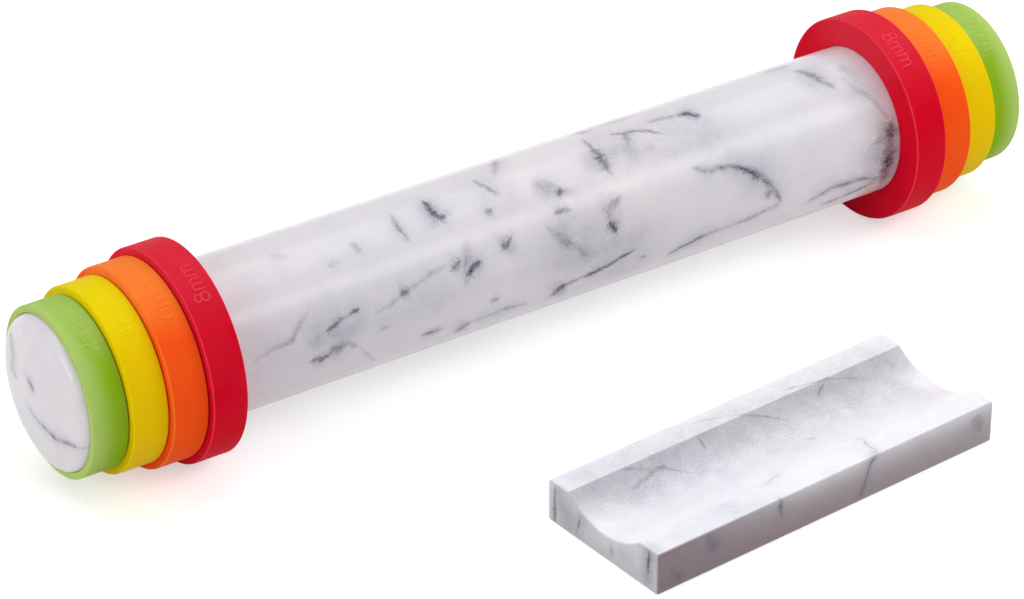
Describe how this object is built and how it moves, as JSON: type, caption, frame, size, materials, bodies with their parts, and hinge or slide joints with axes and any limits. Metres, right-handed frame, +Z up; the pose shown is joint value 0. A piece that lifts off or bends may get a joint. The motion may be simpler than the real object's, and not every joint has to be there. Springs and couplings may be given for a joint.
{
  "type": "adjustable rolling pin",
  "caption": "Polished marble rolling pin with slip-on silicone thickness rings in graded colours at both ends, rolling dough to an even height, and a matching marble cradle with a round trough.",
  "frame": {"origin": "on the table top under the middle of the whole set: the pin's middle lies at X 0, and the pin behind and the cradle in front share the depth", "axes": "+X along the pin, +Y from the cradle towards the pin, +Z up from the table"},
  "size_m": [0.302, 0.1524, 0.0579],
  "materials": {
    "marble": "polished white marble with grey veins",
    "red_silicone": "satin silicone",
    "orange_silicone": "satin silicone",
    "yellow_silicone": "satin silicone",
    "green_silicone": "satin, slightly translucent silicone"
  },
  "bodies": {
    "cradle": {"cradle": "marble"},
    "pin": {"marble_pin": "marble"},
    "left_red_ring": {"left_red_ring": "red_silicone"},
    "left_orange_ring": {"left_orange_ring": "orange_silicone"},
    "left_yellow_ring": {"left_yellow_ring": "yellow_silicone"},
    "left_green_ring": {"left_green_ring": "green_silicone"},
    "right_red_ring": {"right_red_ring": "red_silicone"},
    "right_orange_ring": {"right_orange_ring": "orange_silicone"},
    "right_yellow_ring": {"right_yellow_ring": "yellow_silicone"},
    "right_green_ring": {"right_green_ring": "green_silicone"}
  },
  "joints": [
    {"name": "pin_lift", "type": "slide", "parent": "cradle", "child": "pin", "axis": [0, 0, 1], "range_m": [0, 0.08]},
    {"name": "left_red_slide", "type": "slide", "parent": "pin", "child": "left_red_ring", "axis": [-1, 0, 0], "range_m": [0, 0.049]},
    {"name": "left_orange_slide", "type": "slide", "parent": "left_red_ring", "child": "left_orange_ring", "axis": [-1, 0, 0], "range_m": [0, 0.039]},
    {"name": "left_yellow_slide", "type": "slide", "parent": "left_orange_ring", "child": "left_yellow_ring", "axis": [-1, 0, 0], "range_m": [0, 0.028]},
    {"name": "left_green_slide", "type": "slide", "parent": "left_yellow_ring", "child": "left_green_ring", "axis": [-1, 0, 0], "range_m": [0, 0.018]},
    {"name": "right_red_slide", "type": "slide", "parent": "pin", "child": "right_red_ring", "axis": [1, 0, 0], "range_m": [0, 0.049]},
    {"name": "right_orange_slide", "type": "slide", "parent": "right_red_ring", "child": "right_orange_ring", "axis": [1, 0, 0], "range_m": [0, 0.039]},
    {"name": "right_yellow_slide", "type": "slide", "parent": "right_orange_ring", "child": "right_yellow_ring", "axis": [1, 0, 0], "range_m": [0, 0.028]},
    {"name": "right_green_slide", "type": "slide", "parent": "right_yellow_ring", "child": "right_green_ring", "axis": [1, 0, 0], "range_m": [0, 0.018]}
  ]
}
